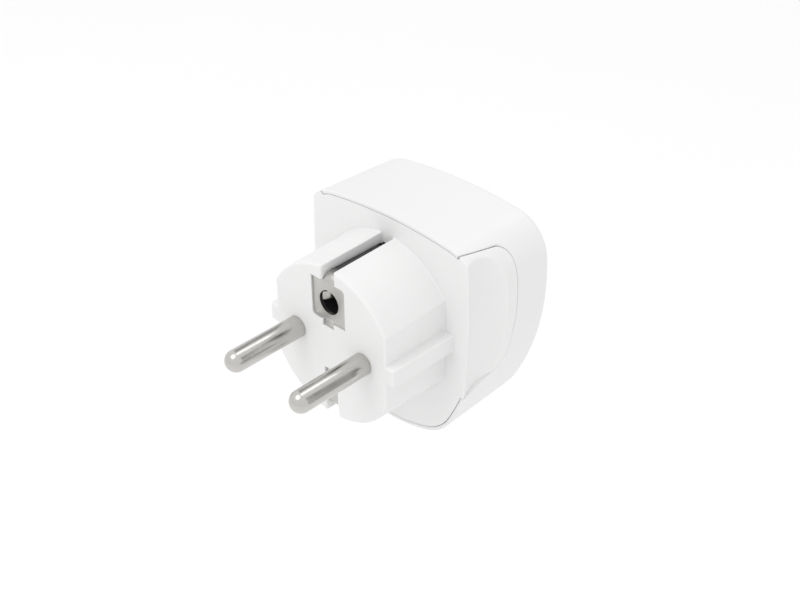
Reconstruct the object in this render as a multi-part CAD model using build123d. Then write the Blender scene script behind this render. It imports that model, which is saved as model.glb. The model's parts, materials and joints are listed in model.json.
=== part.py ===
from build123d import *
import math
import os

# Plug-through power meter for round two-pin sockets with earth clips.
# Millimetres. The origin is the centre of the plug face, between the pin roots. +Y runs along the
# pins into the wall, -Y is the side that a plug is put into, and +Z is up. "Depth" is counted from
# the plug face towards -Y.

# ---- plug side
pin_radius = 2.4
pin_length = 19.0
pin_pitch = 19.0
pin_waist = 0.4                 # the root in the plug face is this much thinner, in radius
pin_head_lip = 0.6              # the head behind the face is this much wider
pin_head_height = 0.8

plug_radius = 18.0              # at the face
plug_draft = 0.4                # how much larger the plug is at the wall plate
plug_depth = 17.0
plug_flat = 15.75               # half width over the side flats
plug_rib_reach = 17.9           # half width over the guide ribs
plug_rib_height = 4.1
plug_wall = 1.6
plug_face_wall = 2.2
plug_edge_round = 0.5

groove_width = 3.5
groove_wall = 1.2
strap_width = 2.7
strap_thickness = 0.8
strap_sink = 1.8                # plug radius to the strap's outer face
strap_lift = 0.7                # strap to the floor of its groove
strap_bend = 1.6
strap_end_gap = 1.5             # the strap stops this far short of the wall plate
bend_relief = 0.5               # the groove floor is cut lower under the bend
lower_strap_start = 6.5         # below the centre, where the lower strap leaves the face

earth_z = 10.0
earth_hole_radius = 2.7
earth_plate_half_width = 4.55
earth_plate_low_z = 5.5
earth_plate_round = 1.0
earth_tongue_half_width = 1.6
earth_tongue_low_z = 4.2
earth_plate_sink = 0.3          # the plate lies this far below the plug face
earth_plate_gap = 0.15
earth_tube_bore = 3.3           # radius of the blind tube behind the plate
earth_tube_wall = 0.7
earth_tube_gap = 0.1

# ---- socket side
plug_play = 1.5                 # recess wall to a plug of the same radius
recess_depth = 17.5
flat_play = 1.15
rib_play = 0.5
rib_side_play = 0.65
cup_wall = 1.0
cup_floor = 2.2
cup_flange = 0.3                # how far the flange stands out past the cup
cup_flange_depth = 1.0
cup_clearance = 0.15
contact_hole_play = 0.25        # radial, round a pin

clip_width = 4.0
clip_thickness = 0.7
clip_press = 0.3                # how far the clip reaches inside a plug's strap
clip_length = 12.5
clip_slot_gap = 0.4
clip_bulge = 1.4                # from the clip's foot to its inner bend
clip_bulge_share = 0.62         # of the clip's length
clip_lead_in = 1.5
clip_bend = 1.5

tulip_play = 0.3                # radial, round a pin
tulip_wall = 0.6
tulip_slot = 0.7
tulip_uncut_end = 1.0
live_contact_gap = 1.2          # pin head to live contact
carrier_thickness = 1.7
carrier_clearance = 0.4
pillar_radius = 2.9
screw_radius = 1.5
screw_length = 13.0
screw_hole_spare = 1.0
screw_head_radius = 2.7
screw_head_height = 1.1
screw_socket_radius = 1.2
screw_socket_depth = 0.7
screw_head_play = 0.2

rotor_thickness = 2.4
rotor_gap = 0.2                 # to the carrier and to the cup floor
blade_margin = 0.45             # blade tip past the contact hole
blade_half_angle = 20.0
hub_radius = 5.8
hub_running_gap = 0.05
spring_ring_radius = 4.6
spring_wire_radius = 0.25
spring_pocket = 1.2

# ---- housing
side_margin = 4.5               # cup to the widest point, at the wall plate
top_margin = 2.9
bottom_margin = 7.6
draft_loss = 0.6                # how much smaller the outline is at the front face
side_widest_z = 7.5
side_radius = 58.5
top_radius = 118.0
bottom_radius = 32.8
upper_corner = 10.0
lower_corner = 12.0
shell_wall = 1.8
front_wall = 2.0
front_round = 2.4
rim_width = 0.8                 # rear edge of the front shell, seen round the wall plate
plate_thickness = 1.7
seam_gap = 0.15

cheek_top_z = 21.3              # side cheeks of the rear cover, at the wall plate
cheek_bottom_z = -12.6
cheek_high_reach = 11.9         # how far the cheek reaches past the plate, at its upper corner
cheek_high_z = 19.8
cheek_bow_reach = 12.25         # the front edge bows out to here
cheek_bow_z = 7.0
cheek_low_reach = 11.0
cheek_low_z = -7.0
cheek_high_round = 3.2
cheek_bow_round = 110.0
cheek_low_round = 2.0
cheek_wall = 1.6

scoop_radius = 7.3              # finger scoops in the cheeks
scoop_offset = 3.9              # centre of the round, outside the widest point
scoop_reach = 3.0               # centre of the round, past the plate
scoop_bow_radius = 195.0
scoop_bow_z = 5.0
scoop_bow_drop = 0.3            # room for the bow beside the board's straight sides

# ---- electronics
board_thickness = 1.0
board_gap = 0.2                 # wall plate to board
chip_height = 0.75
chip_size = 5.0
chip_play = 0.15                # chip to cup floor
board_edge_gap = 0.6
board_hole_margin = 0.6
post_radius = 1.3
post_inset = 1.9                # from the board's straight side
post_high_z = 12.0
post_low_z = -12.5
prop_radius = 0.9
prop_inset = 2.9
prop_high_z = 10.0
prop_low_z = -9.5

relay_width = 15.6
relay_height = 9.3
relay_length = 11.8
relay_top_z = -3.9
relay_depth = 4.0
relay_pin_radius = 0.4
relay_pin_inset = 0.8
bus_thickness = 0.6
bridge_half_width = 5.4
bridge_gap = 0.1
riser_width = 2.4
riser_play = 0.2
riser_foot = 0.8                # how far the risers stand on the board
leaf_length = 7.0
leaf_thickness = 0.4
leaf_half_width = 0.9
leaf_gap = 0.05                 # plate hole to the pressed-back leaf
part_offset = 2.4               # cup to the centre line of the parts that stand round it
case_round = 0.5

# the parts that stand round the cup; angles are from +X towards +Z
chip_angle = 122.0
capacitor_angle = 47.0
capacitor_radius = 2.4
capacitor_length = 12.0
inductor_angle = 133.0
inductor_radius = 2.4
inductor_length = 9.0
inductor_flange = 1.2
winding_gap = 0.3               # wire to the rim of the flanges
filter_angle = -61.5
filter_thickness = 3.2
filter_width = 6.8
filter_length = 11.0
fuse_angle = -45.5
fuse_radius = 1.2
fuse_length = 7.5
varistor_angle = -106.5
varistor_radius = 3.0
varistor_thickness = 2.6
varistor_lift = 0.6             # board to disc
varistor_lead_radius = 0.3
varistor_lead_spacing = 3.0
radio_angle = -124.5
radio_shift = 1.6               # the radio board's inner face, inside the part circle
radio_thickness = 0.8
radio_width = 7.4
radio_length = 15.0
shield_height = 1.7
shield_width = 6.2
shield_length = 10.0
shield_lift = 1.0

button_width = 8.0
button_height = 3.0
button_offset = 2.5             # cup to button centre
button_proud = 0.3
button_gap = 0.15
button_lip = 0.4
button_lip_thickness = 1.0
button_lip_play = 0.05
button_edge_round = 0.25
button_travel = 0.3
button_stem_radius = 1.0
switch_width = 6.0
switch_height = 3.5
switch_length = 3.4
plunger_radius = 0.9
plunger_height = 1.0
plunger_play = 0.1
led_height = 1.2
led_thickness = 2.0
led_width = 2.4
guide_radius = 1.1
guide_angle = -75.0
guide_gap = 0.1
guide_led_gap = 0.3

# ---- worked out from the sizes above
pin_x = pin_pitch / 2
pin_root_radius = pin_radius - pin_waist
pin_head_radius = pin_radius + pin_head_lip
pin_head_end = plug_face_wall + pin_head_height
contact_hole_radius = pin_radius + contact_hole_play
tulip_bore = pin_radius + tulip_play
strap_outer_z = plug_radius - strap_sink
groove_floor_z = strap_outer_z - strap_thickness - strap_lift
pocket_depth = earth_plate_sink + strap_thickness
earth_tube_radius = earth_tube_bore + earth_tube_wall

recess_radius = plug_radius + plug_play
recess_flat = plug_flat + flat_play
recess_groove_reach = plug_rib_reach + rib_play
recess_groove_height = plug_rib_height + 2 * rib_side_play
cup_radius = recess_radius + cup_wall
cup_half_width = recess_groove_reach + cup_wall
clip_inner_z = strap_outer_z - clip_press

half_width = cup_radius + side_margin
top_z = cup_radius + top_margin
bottom_z = -cup_radius - bottom_margin
plate_front = plug_depth + plate_thickness
board_back = plate_front + board_gap
board_front = board_back + board_thickness
floor_back = board_front + chip_height + chip_play
floor_depth = floor_back + cup_floor
front_depth = floor_depth + recess_depth
housing_depth = front_depth - plug_depth

scoop_centre_x = half_width + scoop_offset
scoop_wall_x = scoop_centre_x - scoop_radius - cheek_wall
board_half_width = scoop_wall_x - board_edge_gap - scoop_bow_drop
shutter_radius = pin_x + contact_hole_radius + blade_margin
board_hole_radius = shutter_radius + board_hole_margin
rotor_back = floor_back - rotor_gap - rotor_thickness
carrier_front = rotor_back - rotor_gap
carrier_back = carrier_front - carrier_thickness

bridge_back = plug_face_wall + bridge_gap
bridge_front = bridge_back + bus_thickness
bridge_top_z = groove_floor_z - groove_wall - 2 * bridge_gap
riser_low_z = bridge_top_z - strap_thickness
riser_inner_x = math.sqrt(max(board_hole_radius ** 2 - riser_low_z ** 2, 0)) + riser_foot

relay_pin_z = relay_top_z - relay_height + relay_pin_inset
relay_pin_inner = math.sqrt(board_hole_radius ** 2 - relay_pin_z ** 2) + relay_pin_inset
relay_pin_outer = relay_width / 2 - relay_pin_inset
relay_pin_x = (-relay_pin_outer, -relay_pin_inner, relay_pin_inner, relay_pin_outer)

part_circle = cup_radius + part_offset
button_z = -cup_radius - button_offset
switch_front = board_front + switch_length
radio_inner = part_circle - radio_shift


def at(depth):
    return Plane.XZ.offset(depth)


def prism(sketch, depth_from, depth_to):
    return extrude(at(depth_from) * sketch, depth_to - depth_from)


def block(x_range, z_range, depth_range):
    x_low, x_high = sorted(x_range)
    z_low, z_high = sorted(z_range)
    centre = Pos((x_low + x_high) / 2, (z_low + z_high) / 2)
    return prism(centre * Rectangle(x_high - x_low, z_high - z_low), *depth_range)


def rod(x, z, radius, depth_from, depth_to):
    return prism(Pos(x, z) * Circle(radius), depth_from, depth_to)


def both_sides(solid):
    return solid + mirror(solid, Plane.YZ)


def on_circle(radius, angle):
    return radius * math.cos(math.radians(angle)), radius * math.sin(math.radians(angle))


def standing_box(angle, radius, radial, tangential, depth_from, depth_to):
    """A box beside the cup, square to the radius at the angle."""
    place = Pos(*on_circle(radius, angle)) * Rot(0, 0, angle)
    return prism(place * Rectangle(radial, tangential), depth_from, depth_to)


def front_edges(solid):
    return solid.faces().sort_by(Axis.Y)[0].edges()


def wall_edges(solid):
    return solid.faces().sort_by(Axis.Y)[-1].edges()


# ---- housing surfaces

def outline(depth, inset):
    """Housing outline: four large arcs with rounded corners, drafted towards the front."""
    share = (depth - plug_depth) / housing_depth
    shrink = inset + draft_loss * share
    side_x = half_width - side_radius
    blank = Pos(0, top_z - top_radius) * Circle(top_radius - shrink)
    blank &= Pos(0, bottom_z + bottom_radius) * Circle(bottom_radius - shrink)
    blank &= Pos(side_x, side_widest_z) * Circle(side_radius - shrink)
    blank &= Pos(-side_x, side_widest_z) * Circle(side_radius - shrink)
    upper = blank.vertices().sort_by(Axis.Y)[-2:]
    blank = fillet(upper, upper_corner - inset)
    lower = blank.vertices().sort_by(Axis.Y)[:2]
    return fillet(lower, lower_corner - inset)


def envelope(depth_from, depth_to, inset=0.0):
    sections = [at(depth) * outline(depth, inset) for depth in (depth_from, depth_to)]
    return loft(sections, ruled=True)


def cheek_prism(grow):
    """The area of each side that belongs to the rear cover, cut straight through from the side."""
    high = (-plug_depth - cheek_high_reach, cheek_high_z)
    bow = (-plug_depth - cheek_bow_reach, cheek_bow_z)
    low = (-plug_depth - cheek_low_reach, cheek_low_z)
    top, bottom = (-plug_depth, cheek_top_z), (-plug_depth, cheek_bottom_z)
    area = make_face(Polyline(top, high, bow, low, bottom, close=True))
    for corner, radius in ((high, cheek_high_round), (bow, cheek_bow_round), (low, cheek_low_round)):
        area = fillet(area.vertices().sort_by_distance((*corner, 0))[0], radius)
    if grow:
        area = offset(area, grow)
    return both_sides(extrude(Plane.YZ.offset(recess_radius / 2) * area, half_width))


def scoop_tool(grow):
    """Finger scoop on each side: a round cutter carried along a shallow upright bow."""
    centre = Vector(scoop_centre_x, -plug_depth - scoop_reach, scoop_bow_z)
    section = Plane(centre, x_dir=(1, 0, 0), z_dir=(0, 0, 1)) * Circle(scoop_radius + grow)
    pivot = Axis((scoop_centre_x - scoop_bow_radius, 0, scoop_bow_z), (0, 1, 0))
    half_sweep = math.degrees(1.5 * half_width / scoop_bow_radius)
    return both_sides(revolve(section.rotate(pivot, -half_sweep), pivot, 2 * half_sweep))


def button_shape(grow=0.0):
    return Pos(0, button_z) * SlotOverall(button_width + 2 * grow, button_height + 2 * grow)


def front_shell():
    shell = envelope(plug_depth, front_depth)
    shell = fillet(front_edges(shell), front_round)
    shell -= envelope(plug_depth, front_depth - front_wall, shell_wall)
    shell -= envelope(plug_depth, plate_front, rim_width)
    shell -= cheek_prism(seam_gap)
    inside = front_depth - front_wall
    flange_radius = cup_radius + cup_flange
    shell -= prism(Circle(cup_radius + cup_clearance), inside, front_depth)
    shell -= prism(Circle(flange_radius + cup_clearance), front_depth - cup_flange_depth, front_depth)
    shell -= prism(button_shape(button_gap), inside, front_depth)
    guide_hole = rod(*on_circle(part_circle, guide_angle), guide_radius + guide_gap, inside, front_depth)
    return shell - guide_hole


def plug_outline(radius, rib_reach):
    flats = Rectangle(2 * plug_flat, 4 * radius)
    return (Circle(radius) & flats) + Rectangle(2 * rib_reach, plug_rib_height)


def plug_hollow():
    room = Circle(plug_radius - plug_wall) & Rectangle(2 * (plug_flat - plug_wall), 4 * plug_radius)
    return prism(room, plug_face_wall, plate_front)


def earth_plate_shape(grow):
    width = 2 * (earth_plate_half_width + grow)
    height = groove_floor_z - earth_plate_low_z
    centre = Pos(0, (groove_floor_z + earth_plate_low_z) / 2)
    plate = centre * RectangleRounded(width, height + 2 * grow, earth_plate_round + grow)
    tongue_top = earth_plate_low_z + earth_plate_round
    tongue = Rectangle(2 * (earth_tongue_half_width + grow), tongue_top - earth_tongue_low_z + grow,
                       align=(Align.CENTER, Align.MAX))
    return plate + Pos(0, tongue_top) * tongue


def rear_cover():
    """Wall plate, side cheeks and hollow plug body, moulded as one piece."""
    plug = loft([at(0) * plug_outline(plug_radius, plug_rib_reach),
                 at(plug_depth) * plug_outline(plug_radius + plug_draft, plug_rib_reach + plug_draft / 2)],
                ruled=True)
    cover = fillet(wall_edges(plug), plug_edge_round)
    cover += envelope(plug_depth, plate_front, rim_width + seam_gap)
    body = envelope(plug_depth, front_depth)
    skin = body - envelope(plug_depth, front_depth, cheek_wall)
    cover += (skin + (body & scoop_tool(cheek_wall))) & cheek_prism(0)
    cover -= scoop_tool(0)
    cover -= plug_hollow()
    half_groove = (-groove_width / 2, groove_width / 2)
    for side in (1, -1):
        floor = side * groove_floor_z
        beyond = side * 2 * plug_radius
        cover -= block(half_groove, (floor, beyond), (0, plug_depth))
        cover -= block(half_groove, (floor - side * bend_relief, beyond), (0, pocket_depth + bend_relief))
        cover -= rod(side * pin_x, 0, pin_root_radius, 0, plug_face_wall)
    cover -= block(half_groove, (-groove_floor_z, earth_plate_gap - lower_strap_start), (0, pocket_depth))
    cover -= lower_leg_slot(0)
    cover -= prism(earth_plate_shape(earth_plate_gap), 0, pocket_depth)
    cover -= rod(0, earth_z, earth_tube_radius + earth_tube_gap / 2, 0, plug_face_wall)
    cover += rod(0, 0, pillar_radius, plug_face_wall, floor_back)
    hole_end = floor_depth - screw_length - screw_hole_spare
    cover -= rod(0, 0, screw_radius, hole_end, floor_back)
    post_x = board_half_width - post_inset
    for x in (post_x, -post_x):
        for z in (post_high_z, post_low_z):
            cover += rod(x, z, post_radius, plate_front, board_back)
    return cover


# ---- plug contacts

def plug_pin(side):
    x = side * pin_x
    pin = rod(x, 0, pin_radius, -pin_length, 0)
    tip = pin_radius - 0.02     # a full round would leave an edge of no length
    pin = fillet(wall_edges(pin), tip)
    pin += rod(x, 0, pin_root_radius, 0, plug_face_wall)
    return pin + rod(x, 0, pin_head_radius, plug_face_wall, pin_head_end)


def strap(start_z, side):
    """Earth strap: along the plug face, round the bend and along its groove."""
    y = -earth_plate_sink - strap_thickness / 2
    z = strap_outer_z - strap_thickness / 2
    path = Polyline((y, start_z), (y, z), (strap_end_gap - plug_depth, z))
    path = fillet(path.vertices().sort_by_distance((y, z, 0))[0], strap_bend)
    piece = extrude(Plane.YZ * trace(path, strap_thickness), strap_width / 2, both=True)
    return piece if side > 0 else mirror(piece, Plane.XY)


def lower_leg_slot(depth_from):
    """The leg of the lower strap, which goes through the plug face to the bridge."""
    return block((-strap_width / 2, strap_width / 2),
                 (-lower_strap_start - strap_thickness, -lower_strap_start), (depth_from, bridge_front))


def earth_contact_top():
    plate = prism(earth_plate_shape(0), earth_plate_sink, pocket_depth)
    plate -= rod(0, earth_z, earth_hole_radius, 0, plug_face_wall)
    return plate + strap(groove_floor_z - earth_plate_round, 1)


def earth_contact_bottom():
    return strap(lower_strap_start, -1) + lower_leg_slot(earth_plate_sink)


def earth_bridge():
    """Strip behind the plug face that joins both plug straps, with two risers to the board."""
    depths = (bridge_back, bridge_front)
    reach = riser_inner_x + riser_width
    bridge = block((-bridge_half_width, bridge_half_width), (-riser_low_z, bridge_top_z), depths)
    bridge += block((-reach, reach), (riser_low_z - strap_thickness, bridge_top_z), depths)
    bridge += both_sides(block((riser_inner_x, reach), (riser_low_z, bridge_top_z), (bridge_back, board_back)))
    bridge -= rod(0, earth_z, earth_tube_radius + earth_tube_gap, *depths)
    bridge -= rod(0, 0, pillar_radius + riser_play, *depths)
    return bridge - lower_leg_slot(0)


def earth_pin_spring():
    """Leaf behind the plate that presses on the side of an earth pin."""
    leaf_x = earth_hole_radius + leaf_gap
    return block((leaf_x, leaf_x + leaf_thickness), (earth_z - leaf_half_width, earth_z + leaf_half_width),
                 (pocket_depth, pocket_depth + leaf_length))


# ---- socket side

def recess_shape():
    room = Circle(recess_radius) & Rectangle(2 * recess_flat, 4 * recess_radius)
    return room + (Circle(recess_radius) & Rectangle(2 * recess_groove_reach, recess_groove_height))


def clip_slot(side):
    """Slot in the cup's wall and floor that an earth clip stands in."""
    half = clip_width / 2 + clip_slot_gap
    inner = clip_inner_z + clip_bulge - clip_slot_gap
    return block((-half, half), (side * inner, side * (cup_radius + cup_wall)),
                 (floor_back, floor_depth + clip_length + clip_lead_in))


def socket_cup():
    outer = Circle(cup_radius) & Rectangle(2 * cup_half_width, 4 * cup_radius)
    cup = prism(outer, floor_back, front_depth)
    cup += prism(Circle(cup_radius + cup_flange), front_depth - cup_flange_depth, front_depth)
    cup -= prism(recess_shape(), floor_depth, front_depth)
    mouth = cup.faces().sort_by(Axis.Y)[0].inner_wires()[0]
    cup = chamfer(mouth.edges(), cup_wall / 2)
    for side in (1, -1):
        cup -= clip_slot(side)
        cup -= rod(side * pin_x, 0, contact_hole_radius, floor_back, floor_depth)
    cup -= rod(0, 0, screw_radius, floor_back, floor_depth)
    cup -= rod(0, 0, screw_head_radius + screw_head_play, floor_depth - screw_head_height, floor_depth)
    prop_x = board_half_width - prop_inset
    for x in (prop_x, -prop_x):
        for z in (prop_high_z, prop_low_z):
            cup += rod(x, z, prop_radius, board_front, floor_back)
    return cup


def socket_earth_clip(side):
    """Bent earth spring: stands on the board, rises in its slot and bulges into the recess."""
    foot_z = clip_inner_z + clip_thickness + clip_bulge
    bulge_z = clip_inner_z + clip_thickness / 2
    end = -floor_depth - clip_length
    path = Polyline((-board_front, foot_z), (-floor_depth - clip_lead_in, foot_z),
                    (-floor_depth - clip_length * clip_bulge_share, bulge_z), (end, foot_z))
    path = fillet(path.vertices().sort_by(Axis.X)[1:3], clip_bend)
    strip = extrude(Plane.YZ * trace(path, clip_thickness), clip_width / 2, both=True)
    return strip if side > 0 else mirror(strip, Plane.XY)


def contact_sleeve(side):
    """Slotted contact for a plug's pin. The neutral one stands on its pin head, the live one clear."""
    base = pin_head_end + (live_contact_gap if side < 0 else 0)
    x = side * pin_x
    reach = tulip_bore + tulip_wall
    sleeve = rod(x, 0, reach, base, carrier_back)
    sleeve -= rod(x, 0, tulip_bore, base + tulip_wall, carrier_back)
    slots = (base + 3 * tulip_wall, carrier_back - tulip_uncut_end)
    half = tulip_slot / 2
    sleeve -= block((x - reach, x + reach), (-half, half), slots)
    return sleeve - block((x - half, x + half), (-reach, reach), slots)


def live_busbar():
    """From the live pin's head down beside the relay."""
    depths = (pin_head_end, pin_head_end + bus_thickness)
    inner_x = relay_width / 2 + bus_thickness
    bar = rod(-pin_x, 0, pin_head_radius, *depths)
    return bar + block((-inner_x, -inner_x - riser_width), (relay_top_z - relay_height / 2, 0), depths)


def shunt():
    """Folded resistance strip from the relay to the live contact."""
    top = -tulip_bore - tulip_wall
    relay_x = -relay_width / 2
    middle = relay_depth + relay_length / 2
    depths = (middle - clip_width / 2, middle + clip_width / 2)
    leg = block((relay_x - bus_thickness, relay_x), (top - clip_width, top), depths)
    return leg + block((-pin_x, relay_x), (top - bus_thickness, top), depths)


def contact_carrier():
    """Dark insulating core: a plate across the plug body that holds the contact sleeves' open ends,
    a channel under each strap and the blind tube of the earth hole."""
    inset = plug_wall + carrier_clearance
    inside = Circle(plug_radius - inset) & Rectangle(2 * (plug_flat - inset), 4 * plug_radius)
    disc = inside - Circle(pillar_radius)
    disc -= Pos(0, -spring_ring_radius) * Circle(spring_wire_radius)
    riser = Rectangle(riser_width + 2 * riser_play, strap_thickness + 2 * riser_play)
    for side in (1, -1):
        disc -= Pos(side * pin_x, 0) * Circle(tulip_bore)
        disc -= Pos(side * (riser_inner_x + riser_width / 2), riser_low_z + strap_thickness / 2) * riser
    for x in relay_pin_x:
        disc -= Pos(x, relay_pin_z) * Circle(relay_pin_radius + riser_play)
    carrier = prism(disc, carrier_back, carrier_front)
    start = bridge_front + riser_play
    low = Align.MIN
    wall = Rectangle(groove_width + 2 * groove_wall, plug_radius, align=(Align.CENTER, low))
    room = Rectangle(groove_width, plug_radius, align=(Align.CENTER, low))
    channel = (Pos(0, groove_floor_z - groove_wall) * wall & inside) - Pos(0, groove_floor_z) * room
    top_channel = prism(channel, start, carrier_back)
    carrier += top_channel + mirror(top_channel, Plane.XY)
    carrier += rod(0, earth_z, earth_tube_radius, pocket_depth, carrier_back)
    return carrier - rod(0, earth_z, earth_tube_bore, pocket_depth, carrier_back)


def shutter_rotor():
    """Two blades on a hub. At rest they cover both contact holes."""
    shape = Circle(hub_radius)
    reach = 2 * shutter_radius
    spread = reach * math.tan(math.radians(blade_half_angle))
    for side in (1, -1):
        wedge = make_face(Polyline((0, 0), (side * reach, spread), (side * reach, -spread), close=True))
        shape += wedge & Circle(shutter_radius)
    shape -= Circle(pillar_radius + hub_running_gap)
    half_pocket = spring_pocket / 2
    pocket = Circle(spring_ring_radius + half_pocket) - Circle(spring_ring_radius - half_pocket)
    rotor = prism(shape, rotor_back, rotor_back + rotor_thickness)
    return rotor - prism(pocket, rotor_back, rotor_back + spring_pocket)


def shutter_spring():
    """Return spring in the hub's pocket, with a leg that stands in the carrier."""
    ring_depth = rotor_back + spring_pocket / 2
    ring = at(ring_depth) * Torus(spring_ring_radius, spring_wire_radius)
    return ring + rod(0, -spring_ring_radius, spring_wire_radius, carrier_back, ring_depth)


def centre_screw():
    shoulder = floor_depth - screw_head_height
    head = rod(0, 0, screw_head_radius, shoulder, floor_depth)
    head -= prism(RegularPolygon(screw_socket_radius, 6), floor_depth - screw_socket_depth, floor_depth)
    return head + rod(0, 0, screw_radius, floor_depth - screw_length, shoulder)


# ---- electronics

inductor_place = on_circle(part_circle + case_round, inductor_angle)
inductor_waist = (board_front + inductor_flange, board_front + inductor_length - inductor_flange)


def main_board():
    shape = outline(board_front, shell_wall + board_edge_gap) & Rectangle(2 * board_half_width, 4 * top_z)
    shape -= Circle(board_hole_radius)
    return prism(shape, board_back, board_front)


def relay():
    low = relay_top_z - relay_height
    end = relay_depth + relay_length
    case = block((-relay_width / 2, relay_width / 2), (low, relay_top_z), (relay_depth, end))
    case = fillet(case.edges().filter_by(Axis.Y), case_round)
    for x in relay_pin_x:
        case += rod(x, relay_pin_z, relay_pin_radius, end, board_back)
    return case


def metering_chip():
    place = Pos(*on_circle((board_hole_radius + cup_radius) / 2 + case_round, chip_angle))
    return prism(place * Rectangle(chip_size, chip_size), board_front, board_front + chip_height)


def electrolytic_capacitor():
    place = on_circle(part_circle + case_round, capacitor_angle)
    can = rod(*place, capacitor_radius, board_front, board_front + capacitor_length)
    return fillet(front_edges(can), case_round)


def supply_inductor_core():
    core = rod(*inductor_place, inductor_radius, board_front, board_front + inductor_length)
    core -= rod(*inductor_place, inductor_radius, *inductor_waist)
    return core + rod(*inductor_place, inductor_radius / 2, *inductor_waist)


def supply_inductor_winding():
    wire = rod(*inductor_place, inductor_radius - winding_gap, *inductor_waist)
    return wire - rod(*inductor_place, inductor_radius / 2, *inductor_waist)


def filter_capacitor():
    case = standing_box(filter_angle, part_circle, filter_thickness, filter_width,
                        board_front, board_front + filter_length)
    return fillet(case.edges().filter_by(Axis.Y), case_round)


def fuse():
    place = on_circle(part_circle - case_round, fuse_angle)
    body = rod(*place, fuse_radius, board_front, board_front + fuse_length)
    return fillet(body.edges(), case_round / 2)


def varistor():
    """Disc with its faces square to the radius, on two leads."""
    x, z = on_circle(part_circle, varistor_angle)
    disc_y = -board_front - varistor_radius - varistor_lift
    facing = Plane((x, disc_y, z), z_dir=(x, 0, z))
    body = fillet((facing * Cylinder(varistor_radius, varistor_thickness)).edges(), case_round)
    spread = math.degrees(varistor_lead_spacing / 2 / part_circle)
    for angle in (varistor_angle - spread, varistor_angle + spread):
        body += rod(*on_circle(part_circle, angle), varistor_lead_radius, board_front, -disc_y)
    return body


def radio_board():
    return standing_box(radio_angle, radio_inner + radio_thickness / 2, radio_thickness, radio_width,
                        board_front, board_front + radio_length)


def radio_shield():
    start = board_front + shield_lift
    return standing_box(radio_angle, radio_inner + radio_thickness + shield_height / 2, shield_height,
                        shield_width, start, start + shield_length)


def tact_switch():
    body = block((-switch_width / 2, switch_width / 2),
                 (button_z - switch_height / 2, button_z + switch_height / 2), (board_front, switch_front))
    return body - rod(0, button_z, plunger_radius + plunger_play, switch_front - plunger_height, switch_front)


def switch_plunger():
    foot = switch_front - plunger_height + button_travel + plunger_play
    return rod(0, button_z, plunger_radius, foot, switch_front + plunger_height)


def button_cap():
    inside = front_depth - front_wall
    lip_front = inside - button_lip_play
    lip_back = lip_front - button_lip_thickness
    cap = prism(button_shape(), lip_back, front_depth + button_proud)
    cap = fillet(front_edges(cap), button_edge_round)
    cap += prism(button_shape(button_lip), lip_back, lip_front)
    return cap + rod(0, button_z, button_stem_radius, switch_front + plunger_height, lip_back)


def status_led():
    return standing_box(guide_angle, part_circle, led_thickness, led_width,
                        board_front, board_front + led_height)


def light_guide():
    start = board_front + led_height + guide_led_gap
    guide = rod(*on_circle(part_circle, guide_angle), guide_radius, start, front_depth)
    return fillet(front_edges(guide), guide_radius / 4)


pieces = {
    "front_shell": front_shell,
    "rear_cover": rear_cover,
    "live_pin": lambda: plug_pin(-1),
    "neutral_pin": lambda: plug_pin(1),
    "earth_contact_top": earth_contact_top,
    "earth_contact_bottom": earth_contact_bottom,
    "earth_bridge": earth_bridge,
    "earth_pin_spring": earth_pin_spring,
    "socket_cup": socket_cup,
    "socket_earth_clip_top": lambda: socket_earth_clip(1),
    "socket_earth_clip_bottom": lambda: socket_earth_clip(-1),
    "live_contact": lambda: contact_sleeve(-1),
    "neutral_contact": lambda: contact_sleeve(1),
    "live_busbar": live_busbar,
    "shunt": shunt,
    "contact_carrier": contact_carrier,
    "shutter_rotor": shutter_rotor,
    "shutter_spring": shutter_spring,
    "centre_screw": centre_screw,
    "main_board": main_board,
    "relay": relay,
    "metering_chip": metering_chip,
    "electrolytic_capacitor": electrolytic_capacitor,
    "supply_inductor_core": supply_inductor_core,
    "supply_inductor_winding": supply_inductor_winding,
    "filter_capacitor": filter_capacitor,
    "fuse": fuse,
    "varistor": varistor,
    "radio_board": radio_board,
    "radio_shield": radio_shield,
    "tact_switch": tact_switch,
    "switch_plunger": switch_plunger,
    "button_cap": button_cap,
    "status_led": status_led,
    "light_guide": light_guide,
}

os.makedirs("parts", exist_ok=True)
for name, make in pieces.items():
    export_step(make(), f"parts/{name}.step")
    print(name)
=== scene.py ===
import bpy
import bmesh
import json
import math
import numpy as np
from mathutils import Matrix, Vector


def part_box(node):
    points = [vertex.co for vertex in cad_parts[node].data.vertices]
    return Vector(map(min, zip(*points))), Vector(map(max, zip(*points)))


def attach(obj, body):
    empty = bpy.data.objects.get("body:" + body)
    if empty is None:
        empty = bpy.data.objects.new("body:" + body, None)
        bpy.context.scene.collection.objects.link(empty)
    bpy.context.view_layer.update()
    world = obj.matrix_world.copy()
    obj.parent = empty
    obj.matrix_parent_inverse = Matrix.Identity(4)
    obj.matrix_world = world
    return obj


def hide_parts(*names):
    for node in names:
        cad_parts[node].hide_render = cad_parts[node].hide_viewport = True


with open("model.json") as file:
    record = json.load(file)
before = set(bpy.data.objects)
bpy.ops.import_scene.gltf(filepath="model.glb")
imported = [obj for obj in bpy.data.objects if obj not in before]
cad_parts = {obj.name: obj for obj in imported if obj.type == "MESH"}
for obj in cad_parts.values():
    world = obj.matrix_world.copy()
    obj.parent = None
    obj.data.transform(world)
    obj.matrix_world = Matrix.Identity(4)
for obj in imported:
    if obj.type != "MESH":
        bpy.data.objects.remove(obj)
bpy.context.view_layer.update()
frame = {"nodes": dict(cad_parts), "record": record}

mm = 0.001      # the shapes below are worked out in millimetres
turn = 2 * math.pi


# ---------- camera

camera = {
    "place": (-157.2, 142.73, 152.24),
    "aim": (-1.59, -18.95, 2.29),
    "roll": -0.322,         # degrees
    "lens": 57.95,
    "sensor": 36.0,
}


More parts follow.
